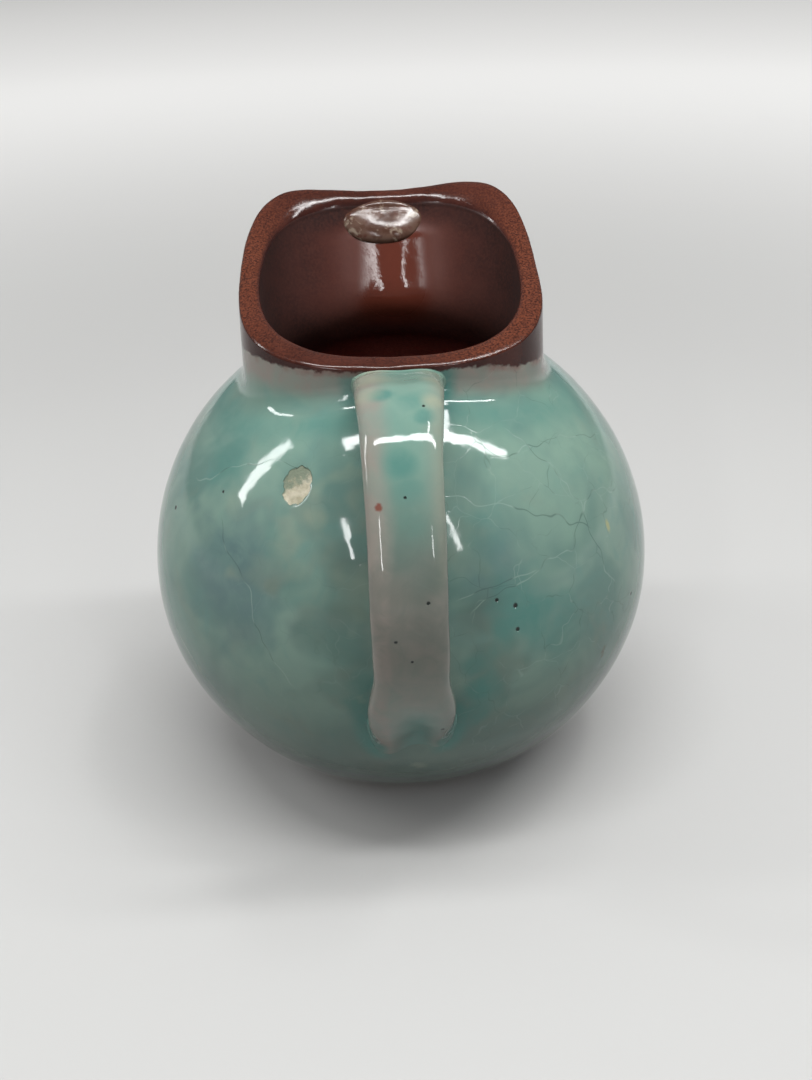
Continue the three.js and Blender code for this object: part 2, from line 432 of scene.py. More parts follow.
def strap():
    """The strap before it is joined, as if it ran on into the vessel: points[station, column]."""
    route = np.array(HANDLE_ROUTE) + GLOBE_CENTRE
    centre = spline(route, HANDLE_STATIONS)
    tangent = unit(np.gradient(centre, axis=0))
    outward = unit(np.cross(tangent, [1.0, 0.0, 0.0]))
    angle = turns(HANDLE_COLUMNS)
    along = np.linspace(0, 1, HANDLE_STATIONS)[:, None]
    half_width = HANDLE_HALF_WIDTH + ROOT_SPREAD * (1 - smoothstep(0, 0.4, along))
    half_width = half_width + FOOT_SPREAD * smoothstep(0.68, 0.82, along)
    half_width = half_width - FOOT_ROUNDING * smoothstep(0.84, 1.0, along)
    across = half_width * signed_power(np.cos(angle), 2 / HANDLE_SQUARENESS)
    half_thickness = HANDLE_HALF_THICKNESS - FOOT_THINNING * smoothstep(0.7, 1.0, along)
    through = half_thickness * signed_power(np.sin(angle), 2 / HANDLE_SQUARENESS)
    outer = np.sin(angle) > 0
    through = through - HOLLOW_DEPTH * outer * bump(across, 0.5, HOLLOW_HALF_WIDTH)
    through = through - EDGE_DROP * outer * (across / half_width) ** 4
    lobes = bump(across, 1.0, FOOT_HOLLOW_HALF_WIDTH) * smoothstep(0.72, 0.93, along)
    through = through - FOOT_HOLLOW_DEPTH * outer * lobes
    points = centre[:, None, :] + outward[:, None, :] * through[:, :, None]
    points[:, :, 0] += across
    return points, centre, angle


def above_skin(tree, points):
    """How far each point is outside the skin, negative inside the clay, and the skin's normal there."""
    distances, normals = [], []
    for point in points.reshape(-1, 3):
        place, normal, _, distance = tree.find_nearest(Vector(point))
        outside = (Vector(point) - place).dot(normal) > 0
        distances.append(distance if outside else -distance)
        normals.append(normal)
    return np.array(distances).reshape(points.shape[:-1]), np.array(normals).reshape(points.shape)


def widen_ends(points, angle, distance, normal, root, foot):
    """Adds the fillets: the strap's ends spread sideways, up and down along the skin that they meet."""
    side = np.cos(angle) ** 2
    outer, inner = np.maximum(np.sin(angle), 0) ** 2, np.maximum(-np.sin(angle), 0) ** 2
    root_side = mix(ROOT_FILLET_RIGHT, ROOT_FILLET_LEFT, (1 - np.cos(angle)) / 2)
    root_fillet = root_side * side + ROOT_FILLET_OUTER * outer + FILLET_INNER * inner
    foot_fillet = FOOT_FILLET * side + FOOT_FILLET * outer + FILLET_INNER * inner
    first_half = (np.arange(HANDLE_STATIONS) < HANDLE_STATIONS // 2)[:, None]
    fillet = np.where(first_half, root_fillet, foot_fillet)
    sideways = points[:, :, 0] - np.where(first_half, root[0], foot[0])
    lift = FILLET_LIFT * (outer - inner) * np.where(first_half, 1, -1)
    away = np.stack([sideways, np.zeros_like(lift), lift], axis=2)
    away = unit(away - normal * (away * normal).sum(axis=2, keepdims=True) + TINY)
    near_skin = np.clip(1 - distance / (FILLET_HEIGHT * fillet), 0, 1) ** FILLET_CURVE
    reach = fillet * near_skin * (distance > -SUNK)
    return points + away * reach[:, :, None]


class Handle:
    """The strap, with a fillet where each end meets the vessel, as rows of points."""

    def __init__(self, tree):
        points, centre, self.angle = strap()
        centre_distance, _ = above_skin(tree, centre)
        outside = np.flatnonzero(centre_distance > 0)
        root, foot = centre[outside[0]], centre[outside[-1]]
        distance, normal = above_skin(tree, points)
        points = widen_ends(points, self.angle, distance, normal, root, foot)
        free = smoothstep(0, 4, distance)[:, :, None]
        push = STRAP_BROAD_WAVES * wobble(points, 14, 5) + STRAP_SMALL_WAVES * wobble(points, 6, 6)
        points = points + grid_normals(points) * push[:, :, None] * free
        self.near, normal = above_skin(tree, points)
        self.points = points - normal * np.minimum(self.near + SUNK, 0)[:, :, None]
        self.normals = grid_normals(self.points)
        columns = np.arange(HANDLE_COLUMNS)
        first = np.argmax(self.near > 0, axis=0)
        last = HANDLE_STATIONS - 1 - np.argmax(self.near[::-1] > 0, axis=0)
        self.landings = [self.points[first, columns], self.points[last, columns]]


# -------- where each glaze lies
# soft patches on the globe: azimuth, latitude, radius in mm, strength
PALE_PATCHES = [
    (25, 50, 10, 0.8), (56, 44, 15, 0.9), (38, 38, 13, 0.6), (-20, 52, 8, 0.5), (-38, 48, 10, 0.5),
]
CREAM_PATCHES = [
    (-22, 34, 3.2, 0.55), (-29, 28, 3.6, 0.5), (-11, 21, 4.2, 0.3), (-14, 39, 3.0, 0.4),
    (-47, 33, 3.4, 0.3), (10, 27, 4.4, 0.3), (-25, 24, 2.6, 0.45), (-33, 22, 3.0, 0.35),
]
DEEP_PATCHES = [
    (-10.5, 2, 3.5, 0.8), (-10.5, -5, 3.5, 0.8), (11, 4, 3.5, 0.7), (12, -2, 4.5, 0.9), (11.5, -8, 4, 0.8),
    (23, 13, 8, 0.9), (31, 5, 7, 0.5), (-55, 41, 8, 0.6), (14, 30, 6, 0.35), (70, 47, 7, 0.5),
    (-16, 8, 8, 0.35), (-60, 5, 12, 0.3),
]
# painted shadow of the handle on the globe beside it, partly darker glaze there
SHADED_PATCHES = [
    (-15, 12, 11, 0.6), (-15, 0, 9, 0.45), (-12, 23, 8, 0.5), (14, 14, 6, 0.6), (15, 3, 8, 0.6),
]
BLUE_PATCHES = [
    (-44, 20, 12, 1.0), (-37, 12, 9, 0.8), (17, 24, 8, 0.6), (130, 20, 16, 0.7), (-140, 30, 14, 0.6),
]


def patches(points, spots, raggedness=0.6):
    """How much each point belongs to a set of soft patches on the globe, from 0 to 1."""
    share = np.zeros(points.shape[:-1])
    uneven = 1 + raggedness * (wobble(points, 8, 7) + 0.5 * wobble(points, 3.5, 4))
    for azimuth, latitude, radius, strength in spots:
        away = np.linalg.norm(points - on_globe(azimuth, latitude), axis=-1) * uneven
        share = np.maximum(share, strength * (1 - smoothstep(0.35 * radius, 1.5 * radius, away)))
    return share


def distance_to_ring(points, ring):
    flat = points.reshape(-1, 3)
    near = np.full(len(flat), 1e9)
    for place in ring:
        near = np.minimum(near, ((flat - place) ** 2).sum(axis=1))
    return np.sqrt(near).reshape(points.shape[:-1])


# half widths in mm of the glossier glaze and of the painted light on the inner wall's swell
GLOSSY_HALF_WIDTH, PAINTED_LIGHT_HALF_WIDTH = 9, 12
GLAZE_LINE = 61.2  # the brown glaze begins at about this height above the centre
GLAZE_LINE_SWAYS = [(1.6, 195, 30), (-2.6, -8, 28), (0.7, -58, 14)]  # mm up, and where round the vessel
MOST_BROWN, LEAST_BROWN = 12.0, -20.0  # mm above and below the line at which the field stops


def over_glaze_line(points, angle):
    """How many mm each point is above the line where the brown glaze begins."""
    line = GLAZE_LINE + 1.3 * bump(angle, math.radians(252), 0.6)
    for rise, middle, width in GLAZE_LINE_SWAYS:
        line = line + rise * angle_bump(angle, middle, width)
    line = line + 0.7 * wobble(points, 14, 8) + 0.3 * wobble(points, 4, 9)
    return points[:, :, 2] - GLOBE_HEIGHT - line


def grooves_beside(points, landings):
    """1 in the grooves at both sides of each of the handle's ends, where the glaze has pooled."""
    grooves = np.zeros(points.shape[:2])
    for landing in landings:
        away = distance_to_ring(points, landing)
        beside = smoothstep(3, 9, np.abs(points[:, :, 0] - landing[:, 0].mean()))
        grooves = np.maximum(grooves, (1 - smoothstep(1.0, 4.6, away)) * beside)
    return grooves


def vessel_fields(skin, handle):
    """How brown, thin, pooled and so on the glaze is at every point of the vessel's skin, and where shade and
    light are painted on it.

    "brown" is the height in mm above the line where the brown glaze begins. "inside" is 0 outside the
    mouth, 1 on its inner wall and 2 inside the globe. The others are shares from 0 to 1.
    """
    points, angle = skin.points, skin.angle
    rows = np.arange(len(points))
    over_rim = np.clip((rows - skin.rim_first) / (skin.rim_last - skin.rim_first), 0, 1)[:, None]
    brown = over_glaze_line(points, angle) + 9 * smoothstep(0.1, 0.4, over_rim)
    outside = (rows <= skin.rim_last)[:, None]
    step = np.linalg.norm(np.diff(points, axis=0, prepend=points[:1]), axis=2)
    climb = np.cumsum(step, axis=0)
    above_seam = climb - climb[skin.seam_out]
    ring_pool = bump(above_seam, 1.5 * wobble(points, 15, 10) - 2.0, 3.2) * outside
    deep = np.maximum(ring_pool * 0.6, grooves_beside(points, handle.landings) * 0.95) * outside
    # painted shade: the globe is painted darker towards its bottom
    low = 1 - smoothstep(-46, 14, points[:, :, 2] - GLOBE_HEIGHT)
    rim_top = smoothstep(0.04, 0.2, over_rim) * (1 - smoothstep(0.6, 0.92, over_rim))
    below_throat = smoothstep(skin.seam_in - 6, skin.seam_in + 8, rows)[:, None]
    return {
        "brown": np.where(outside, np.clip(brown, LEAST_BROWN, MOST_BROWN), MOST_BROWN),
        "rim": rim_top * sand_share(angle, skin.far),
        "inside": (smoothstep(0.86, 1.0, over_rim) + below_throat) * np.ones_like(brown),
        "swell": smoothstep(0.1, 0.9, front_swell(points, skin.inner_edge, GLOSSY_HALF_WIDTH)) * ~outside,
        # painted light on the inner wall's swell
        "lit": front_swell(points, skin.inner_edge, PAINTED_LIGHT_HALF_WIDTH) * ~outside,
        "deep": np.maximum(deep, patches(points, DEEP_PATCHES) * outside),
        "thin": smoothstep(-7.5, -3.5, brown) * outside * smoothstep(-6, 0, above_seam),
        "pale": patches(points, PALE_PATCHES) * outside,
        "cream": 0.7 * patches(points, CREAM_PATCHES, 1.1) * outside,
        "blue": patches(points, BLUE_PATCHES) * outside,
        # painted shade: darker towards the bottom, and painted shadow beside the handle
        "low": np.maximum(low, patches(points, SHADED_PATCHES)) * outside,
        "craze": craze_share(points, angle),
    }


def sand_share(angle, far):
    """How worn and sandy the rim's top is: least at the front, and little on the handle's left."""
    return mix(1 - 0.7 * angle_bump(angle, 240, 24) - 0.4 * angle_bump(angle, 275, 16), 0.25, far)


def craze_share(points, angle):
    """Where the glaze has cracked most: to the right of the handle."""
    return 0.15 + 0.85 * angle_bump(angle, -50, 34) * smoothstep(-40, 0, points[:, :, 2] - GLOBE_HEIGHT)


# patches on the strap: how far along it (0 at the mouth), how far across (-1 to 1), radius in mm, strength
STRAP_DEEP = [
    (0.17, -0.42, 2.3, 1.0), (0.19, 0.22, 3.6, 0.6), (0.225, 0.5, 2.4, 0.8), (0.06, 0.15, 3.8, 0.45),
    (0.11, 0.2, 3.6, 0.4), (0.305, -0.05, 4.6, 0.8), (0.35, 0.1, 4.0, 0.6), (0.4, 0.15, 3.6, 0.35),
]
STRAP_CREAM = [
    (0.03, -0.7, 4.0, 0.7), (0.09, -0.75, 4.0, 0.7), (0.16, -0.8, 3.0, 0.6), (0.19, 0.78, 2.4, 0.9),
    (0.1, 0.85, 3.0, 0.6), (0.05, 0.8, 3.0, 0.5),
]
STRAP_MAUVE = [(0.53, 0.05, 5.5, 0.9), (0.47, 0.1, 4.0, 0.6)]
# pinholes in the strap's glaze: how far along it, how far across, radius in mm
STRAP_PINHOLES = [
    (0.205, 0.5, 0.4), (0.36, 0.0, 0.4), (0.525, 0.44, 0.5), (0.585, -0.42, 0.45), (0.625, 0.08, 0.4),
    (0.86, 0.72, 0.45),
]
RUST_SPOT = (0.375, -0.68)
ALL_TURQUOISE = -12.0  # well below the line where the brown glaze begins


def on_strap(handle, along, across):
    """A point on the strap's outer face."""
    rows, columns = handle.points.shape[:2]
    angle = math.acos(np.sign(across) * abs(across) ** (HANDLE_SQUARENESS / 2))
    return handle.points[round(along * (rows - 1)), round(angle / (2 * math.pi) * columns)]


def handle_fields(handle):
    """The glaze on the strap: green down the middle of its upper half, thin and pinkish at its left edge,
    with painted light on its upper half and painted shade further down.
    """
    points = handle.points
    rows = len(points)
    along = np.linspace(0, 1, rows)[:, None]
    across = signed_power(np.cos(handle.angle), 2 / HANDLE_SQUARENESS)[None, :]
    length = np.linalg.norm(np.diff(points.mean(axis=1), axis=0), axis=1).sum()
    drift = 0.2 * wobble(points, 16, 11) + 0.12 * wobble(points, 6, 12)

    def strap_patches(spots):
        share = np.zeros(points.shape[:2])
        for place, side, radius, strength in spots:
            off_along = (along - place) * length
            off_across = (across - side) * HANDLE_HALF_WIDTH
            away = np.hypot(off_along, off_across) * (1 + 1.5 * drift)
            share = np.maximum(share, strength * (1 - smoothstep(0.3 * radius, 1.4 * radius, away)))
        return share

    upper = 1 - smoothstep(0.31, 0.55, along + 0.4 * drift)
    middle = bump(across, 0.15 + drift, 0.42)
    edge = smoothstep(0.25, 0.8, np.abs(across - 0.1 + 0.6 * drift))
    left = smoothstep(0.1, -0.5, across + drift)
    sides = smoothstep(0.4, 0.8, np.abs(np.cos(handle.angle)))
    pool = (1 - smoothstep(0.3, 2.4, handle.near)) * sides
    end_groove = smoothstep(0.74, 0.84, along) * bump(across, 0.12, 0.28)
    thin = np.maximum(edge * mix(0.45, 0.9, left), 0.6 * (1 - upper)) - 0.6 * end_groove - pool
    # painted shade: the strap is darker where it turns down, and less so near its foot
    shaded = smoothstep(0.27, 0.5, along) - 0.75 * smoothstep(0.56, 0.8, along)
    lighter = 0.35 * upper * smoothstep(0.55, 0.95, across)
    zero = np.zeros(points.shape[:2])
    return {
        **dict.fromkeys(("rim", "inside", "swell", "lit", "blue"), zero),
        "brown": zero + ALL_TURQUOISE,
        "deep": np.maximum.reduce(
            [strap_patches(STRAP_DEEP), 0.9 * pool, 0.8 * end_groove, 0.3 * middle * upper]
        ),
        "thin": np.clip(thin, 0, 1),
        # painted light: the strap's upper half is painted paler
        "pale": 0.75 * upper + zero,
        "cream": np.maximum(strap_patches(STRAP_CREAM), lighter),
        # painted shade, laid together with the darker mauve patches
        "low": np.maximum(shaded, strap_patches(STRAP_MAUVE)),
        "craze": zero + 0.1,
    }


# -------- node materials
def tone(red, green, blue):
    """Everyday 0 to 255 values as a colour in linear numbers."""
    values = [channel / 255 for channel in (red, green, blue)]
    return (*[v / 12.92 if v <= 0.04045 else ((v + 0.055) / 1.055) ** 2.4 for v in values], 1.0)


GLAZE_IOR = 1.33  # old glaze, duller than new glass
NOISE_ROUGHNESS = 0.6


class Nodes:
    """One material's node tree. Its patterns are in millimetres, in the frame's axes."""

    def __init__(self, name):
        self.material = bpy.data.materials.new(name)
        self.material.use_nodes = True
        self.tree = self.material.node_tree
        self.shader = self.tree.nodes["Principled BSDF"]
        self.shader.inputs["IOR"].default_value = GLAZE_IOR
        place = self.add("VectorMath", operation="SCALE")
        self.feed(place.inputs["Vector"], self.add("TexCoord").outputs["Object"])
        place.inputs["Scale"].default_value = 1 / MM
        self.place = place.outputs["Vector"]

    def add(self, kind, **settings):
        node = self.tree.nodes.new("ShaderNode" + kind)
        for name, value in settings.items():
            setattr(node, name, value)
        return node

    def feed(self, socket, value):
        if isinstance(value, bpy.types.NodeSocket):
            self.tree.links.new(value, socket)
        else:
            socket.default_value = value

    def feed_all(self, node, sockets):
        for socket, value in sockets.items():
            self.feed(node.inputs[socket], value)

    def math(self, operation, first, second=0.0, clamp=False):
        node = self.add("Math", operation=operation, use_clamp=clamp)
        self.feed_all(node, {0: first, 1: second})
        return node.outputs[0]

    def times(self, first, second):
        return self.math("MULTIPLY", first, second)

    def plus(self, first, second):
        return self.math("ADD", first, second)

    def ramp(self, value, low, high, start=0.0, end=1.0):
        """Goes smoothly from `start` to `end` while the value goes from `low` to `high`."""
        node = self.add("MapRange", interpolation_type="SMOOTHSTEP")
        sockets = {"Value": value, "From Min": low, "From Max": high, "To Min": start, "To Max": end}
        self.feed_all(node, sockets)
        return node.outputs["Result"]

    def noise(self, size, detail=2.0, seed=0, distortion=0.0):
        """Smooth noise, 0 to 1, with features about `size` mm across; each seed is its own pattern."""
        moved = self.vector("ADD", self.place, (seed * 131.7, seed * 71.3, seed * 93.1))
        node = self.add("TexNoise")
        self.feed_all(node, {
            "Vector": moved.outputs[0], "Scale": 1 / size, "Detail": detail,
            "Roughness": NOISE_ROUGHNESS, "Distortion": distortion,
        })
        return node.outputs["Fac"]

    def stray(self, size, detail, seed, reach):
        """Noise about zero, `reach` from its lowest to its highest."""
        return self.times(self.math("SUBTRACT", self.noise(size, detail, seed), 0.5), reach)

    def field(self, name):
        return self.add("Attribute", attribute_name=name).outputs["Fac"]

    def blend(self, share, first, second):
        """Mixes two colours; each is a socket, or three everyday values from 0 to 255."""
        first, second = (tone(*item) if isinstance(item, tuple) else item for item in (first, second))
        node = self.add("Mix", data_type="RGBA")
        self.feed_all(node, {"Factor": share, 6: first, 7: second})
        return node.outputs[2]

    def clouds(self, pattern, low, high, first, second):
        """Two colours that drift into each other; `pattern` is what the noise is asked for."""
        return self.blend(self.ramp(self.noise(*pattern), low, high), first, second)

    def vector(self, operation, first, second):
        node = self.add("VectorMath", operation=operation)
        self.feed_all(node, {0: first, 1: second})
        return node

    def distance(self, centre, stretch=(1, 1, 1)):
        """The distance in mm from a point; a stretch below 1 makes the spot longer that way."""
        away = self.vector("SUBTRACT", self.place, tuple(centre))
        scaled = self.vector("MULTIPLY", away.outputs[0], stretch)
        length = self.add("VectorMath", operation="LENGTH")
        self.feed(length.inputs[0], scaled.outputs[0])
        return length.outputs["Value"]

    def dot(self, centre, direction):
        """How far a place lies from a point along a direction, in mm."""
        away = self.vector("SUBTRACT", self.place, tuple(centre))
        return self.vector("DOT_PRODUCT", away.outputs[0], tuple(direction)).outputs["Value"]

    def combine(self, operation, values):
        """The sum, the largest or so on of several values."""
        return reduce(lambda first, second: self.math(operation, first, second), values)

    def finish(self, colour, roughness, height):
        """Feeds the shader; `height` is the fine relief in mm."""
        relief = self.add("Bump")
        self.feed_all(relief, {"Distance": MM, "Height": height})
        normal = relief.outputs["Normal"]
        self.feed_all(self.shader, {"Base Color": colour, "Roughness": roughness, "Normal": normal})
        return self.material


# pinholes in the glaze: azimuth, latitude, radius in mm
PINHOLES = [
    (17, 17, 0.6), (21, 15, 0.75), (21, 10, 0.65), (-70, 24, 0.7), (58, 3, 0.6), (-76, 12, 0.6),
    (-52, 34, 0.5), (105, 30, 0.6), (150, 10, 0.7), (-120, 25, 0.6), (-165, -5, 0.7),
]
RUN_CENTRE = on_globe(52, 22)  # a yellowish drip
SCUFF_CENTRE = on_globe(46, -6)
# long cracks: azimuth and latitude of both ends, and how much the crack strays, in mm
CRACKS = [
    ((9, 18), (27, 21), 2.0), ((12, 14), (62, 30), 5.0), ((8, 38), (46, 24), 4.0),
    ((33, 50), (50, 8), 5.0), ((24, 44), (70, 38), 5.0), ((-48, 30), (-26, -2), 4.0),
    ((-66, 34), (-30, 44), 4.0),
]
CELL_SIZE, CELL_WARP, CELL_WARP_SIZE = 10, 8, 9  # mm: the net of fine cracks


def mixed(n, base, *layers):
    """Lays colours over a base: each layer is (share, colour)."""
    for share, colour in layers:
        base = n.blend(share, base, colour)
    return base


def turquoise_colour(n):
    """The mottled blue-green glaze: thick and deep in hollows, thin and pinkish on edges."""
    mottle = n.ramp(n.noise(7, 3, 4, 0.6), 0.3, 0.68, 0.6, 1.0)

    def area(field):
        return n.times(n.field(field), mottle)

    base = n.clouds((28, 3, 1, 0.5), 0.38, 0.62, (75, 99, 93), (92, 113, 104))
    return mixed(
        n, base,
        (n.ramp(n.noise(13, 3, 2, 0.8), 0.5, 0.72, 0, 0.45), (74, 105, 100)),
        (n.ramp(n.noise(17, 3, 3, 0.4), 0.52, 0.74, 0, 0.45), (96, 104, 94)),
        (area("pale"), (98, 121, 109)),
        (area("blue"), (70, 90, 90)),
        # painted shade: darker low down, beside the handle and along the strap's lower part
        (n.times(n.field("low"), 0.85), (61, 70, 65)),
        (area("thin"), (109, 102, 96)),
        (area("deep"), (55, 95, 89)),
        (area("cream"), (113, 119, 104)),
    )


def cells_of_cracks(n):
    """A net of fine cracks, 0 to 1, strongest where the vessel's craze field says."""
    warp = n.add("TexNoise")
    n.feed_all(warp, {"Vector": n.place, "Scale": 1 / CELL_WARP_SIZE})
    reach = n.add("VectorMath", operation="SCALE")
    n.feed_all(reach, {0: warp.outputs["Color"], "Scale": CELL_WARP})
    bent = n.vector("ADD", n.place, reach.outputs[0])
    cells = n.add("TexVoronoi", feature="DISTANCE_TO_EDGE")
    n.feed_all(cells, {"Vector": bent.outputs[0], "Scale": 1 / CELL_SIZE})
    line = n.ramp(cells.outputs["Distance"], 0.0, 0.014, 1.0, 0.0)
    broken = n.ramp(n.noise(11, 2, 5), 0.34, 0.52)
    return n.times(line, n.times(broken, n.field("craze")))


def long_crack(n, start, end, stray, bend):
    """One long crack: it follows the great circle between two places, straying a little."""
    one, two = on_globe(*start), on_globe(*end)
    across, middle = unit(np.cross(one - GLOBE_CENTRE, two - GLOBE_CENTRE)), (one + two) / 2
    half = np.linalg.norm(two - one) / 2
    off = n.plus(n.dot(middle, across), n.times(bend, stray))
    line = n.ramp(n.math("ABSOLUTE", off), 0.05, 0.2, 1.0, 0.0)
    near = n.ramp(n.distance(middle), 0.9 * half, half + 1.0, 1.0, 0.0)
    return n.times(line, near)


def all_cracks(n):
    bend = n.stray(16, 2, 10, 3.0)
    net = n.times(cells_of_cracks(n), 0.8)
    return n.combine("MAXIMUM", [net] + [long_crack(n, *crack, bend) for crack in CRACKS])


def brown_colour(n):
    """The iron-brown glaze: speckled, orange and sandy on the wiped rim, painted darker on the mouth's inner
    wall as painted shade, with painted light on that wall's swell.
    """
    base = n.clouds((14, 3, 11, 0.4), 0.35, 0.65, (38, 16, 13), (52, 25, 20))
    fine = n.noise(0.7, 3, 13)
    glaze = mixed(
        n, base,
        (n.ramp(fine, 0.55, 0.75, 0, 0.5), (66, 34, 26)),
        (n.ramp(fine, 0.3, 0.42, 0.6, 0), (26, 10, 9)),
    )
    sand = n.clouds((0.5, 3, 14), 0.34, 0.68, (42, 18, 12), (84, 43, 28))
    outside = n.blend(n.field("rim"), glaze, sand)
    # painted shade: the mouth's inner wall is painted darker than the brown outside
    wall = n.clouds((10, 3, 28, 0.4), 0.35, 0.65, (27, 9, 7), (39, 15, 11))
    within = n.blend(n.ramp(fine, 0.35, 0.7), wall, (46, 20, 14))
    # painted light on the inner wall's swell
    within = n.blend(n.field("lit"), within, (74, 35, 26))
    belly = n.blend(n.ramp(fine, 0.35, 0.7), (108, 50, 42), (128, 66, 56))
    return mixed(
        n, outside,
        (n.math("MINIMUM", n.field("inside"), 1.0), within),
        (n.math("SUBTRACT", n.field("inside"), 1.0, clamp=True), belly),
    )


def chip_mask(n):
    """1 inside the flake with its ragged edge, and its height from its lower edge, -1 to 1."""
    right, up = chip_axes()
    across = n.math("DIVIDE", n.dot(CHIP_CENTRE, right), CHIP_HALF_WIDTH)
    rise = n.math("DIVIDE", n.dot(CHIP_CENTRE, up), CHIP_HALF_HEIGHT)
    across_power = n.math("POWER", n.math("ABSOLUTE", across), 2.0)
    rise_power = n.math("POWER", n.math("ABSOLUTE", rise), 2.6)
    ragged = n.plus(n.plus(across_power, rise_power), n.stray(2.6, 3, 21, 1.5))
    near = n.ramp(n.distance(CHIP_CENTRE), 7.0, 8.0, 1.0, 0.0)
    return n.times(n.ramp(ragged, 0.78, 0.9, 1.0, 0.0), near), across, rise


def chip_colour(n, across, rise):
    """Pale clay at the lower right, with some glaze left at the upper left."""
    slant = n.math("SUBTRACT", rise, n.times(across, 0.7))
    uneven = n.stray(2.2, 3, 22, 2.2)
    clay = n.clouds((3.0, 2, 24), 0.4, 0.65, (126, 122, 102), (150, 145, 128))
    return n.blend(n.ramp(n.plus(slant, uneven), -0.2, 0.5), clay, (90, 98, 83))


def glaze_roughness(n, fine, brown, rim, chip):
    """Glossy, a little less so in the brown glaze, and dull inside the mouth and on bare clay."""
    outside = n.math("SUBTRACT", 1.0, n.field("inside"), clamp=True)
    dull = n.math("SUBTRACT", n.field("inside"), n.field("swell"), clamp=True)
    roughness = n.combine("ADD", [
        n.ramp(n.noise(5, 2, 15), 0.3, 0.7, 0.05, 0.09),
        n.times(n.ramp(fine, 0.3, 0.7, 0.01, 0.1), n.times(brown, outside)),
        n.times(rim, 0.08),
        n.times(dull, 0.85),
    ])
    return n.math("MAXIMUM", roughness, n.times(chip, 0.6))


def glaze_material(strap_pinholes, rust_spot):
    """Both glazes: the turquoise one, the brown one above it, and everything that marks them."""
    n = Nodes("two_glazes")
    cracks = all_cracks(n)
    run_edge = n.plus(n.distance(RUN_CENTRE, (1.6, 1.6, 0.5)), n.noise(2, 2, 7))
    scuff_edge = n.plus(n.distance(SCUFF_CENTRE, (1, 1, 0.6)), n.times(n.noise(1.4, 3, 8), 3.2))
    rust_edge = n.plus(n.distance(rust_spot, (1, 1, 0.7)), n.noise(1.2, 2, 25))
    holes = [(on_globe(azimuth, latitude), radius) for azimuth, latitude, radius in PINHOLES]
    pits = n.combine("MAXIMUM", [
        n.ramp(n.distance(place), 0.45 * radius, radius, 1.0, 0.0) for place, radius in holes + strap_pinholes
    ])
    chip, across, rise = chip_mask(n)
    edge = n.stray(2.0, 3, 9, 2.2)
    height_over_line = n.plus(n.field("brown"), edge)
    brown = n.ramp(height_over_line, -0.35, 0.35)
    blush_patches = n.ramp(n.noise(9, 2, 26), 0.42, 0.62, 0, 0.6)
    blush = n.times(n.ramp(height_over_line, -1.8, -0.2), blush_patches)
    crack_colour = n.clouds((8, 1, 27), 0.45, 0.55, (48, 65, 61), (111, 128, 120))
    colour = mixed(
        n, turquoise_colour(n),
        (n.times(cracks, 0.48), crack_colour),
        (n.ramp(run_edge, 0.9, 2.2, 0.8, 0.0), (125, 125, 87)),
        (n.ramp(scuff_edge, 1.6, 3.0, 0.8, 0.0), (65, 56, 39)),
        (n.ramp(rust_edge, 0.9, 1.5, 0.85, 0.0), (87, 43, 32)),
        (pits, (24, 29, 27)),
        (chip, chip_colour(n, across, rise)),
        (blush, (94, 61, 55)),
        (brown, brown_colour(n)),
    )
    rim = n.times(n.field("rim"), brown)
    fine = n.noise(0.8, 3, 16)
    relief = n.combine("ADD", [
        n.times(n.noise(8, 2, 17), 0.12),
        n.times(n.times(fine, 0.02), brown),
        n.times(n.times(n.noise(0.6, 2, 19), 0.06), rim),
        n.times(cracks, -0.01),
        n.times(pits, -0.25),
        n.times(chip, n.ramp(n.noise(1.6, 3, 23), 0.2, 0.8, -0.4, -0.2)),
    ])
    return n.finish(colour, glaze_roughness(n, fine, brown, rim, chip), relief)


def pale_glaze_material():
    """The pale glossy run inside the mouth: pinkish beige with milky and brown clouds."""
    n = Nodes("pale_glaze")
    base = n.clouds((5, 3, 31, 0.6), 0.4, 0.6, (58, 38, 30), (74, 55, 46))
    colour = mixed(
        n, base,
        (n.ramp(n.noise(3, 3, 32, 0.6), 0.52, 0.68, 0, 0.7), (62, 32, 24)),
        (n.ramp(n.noise(4, 3, 33, 0.8), 0.55, 0.68, 0, 0.8), (112, 100, 88)),
    )
    roughness = n.ramp(n.noise(3, 2, 34), 0.3, 0.7, 0.12, 0.22)
    return n.finish(colour, roughness, n.times(n.noise(5, 2, 35), 0.1))


def bare_clay_material():
    """The unglazed foot: pale buff clay, sandy, with a little iron and worn dirt."""
    n = Nodes("bare_clay")
    base = n.clouds((9, 3, 41), 0.35, 0.65, (133, 119, 96), (152, 140, 119))
    colour = mixed(
        n, base,
        (n.ramp(n.noise(0.9, 3, 42), 0.62, 0.72, 0, 0.8), (87, 61, 43)),
        (n.ramp(n.noise(5, 4, 43), 0.55, 0.75, 0, 0.5), (95, 84, 69)),
    )
    roughness = n.ramp(n.noise(2, 2, 44), 0.3, 0.7, 0.7, 0.9)
    return n.finish(colour, roughness, n.times(n.noise(0.7, 3, 45), 0.2))


# -------- the foot and the pale glaze run
FOOT_FLAT_RADIUS = 27.0
FOOT_EDGE = 1.1
FOOT_ROUND_SHARE = 0.35  # how much of its side the rounding of the edge takes up
FOOT_UNEVENNESS = 0.25
FOOT_COLUMNS = 180
FOOT_FLAT_ROWS, FOOT_EDGE_ROWS, FOOT_SIDE_ROWS, FOOT_TOP_ROWS = 12, 8, 5, 6


def ring_of(radius, height, columns):
    """Points on a level circle round the vertical axis."""
    angle = turns(columns)
    return np.column_stack([radius * np.cos(angle), radius * np.sin(angle), np.full(columns, height)])


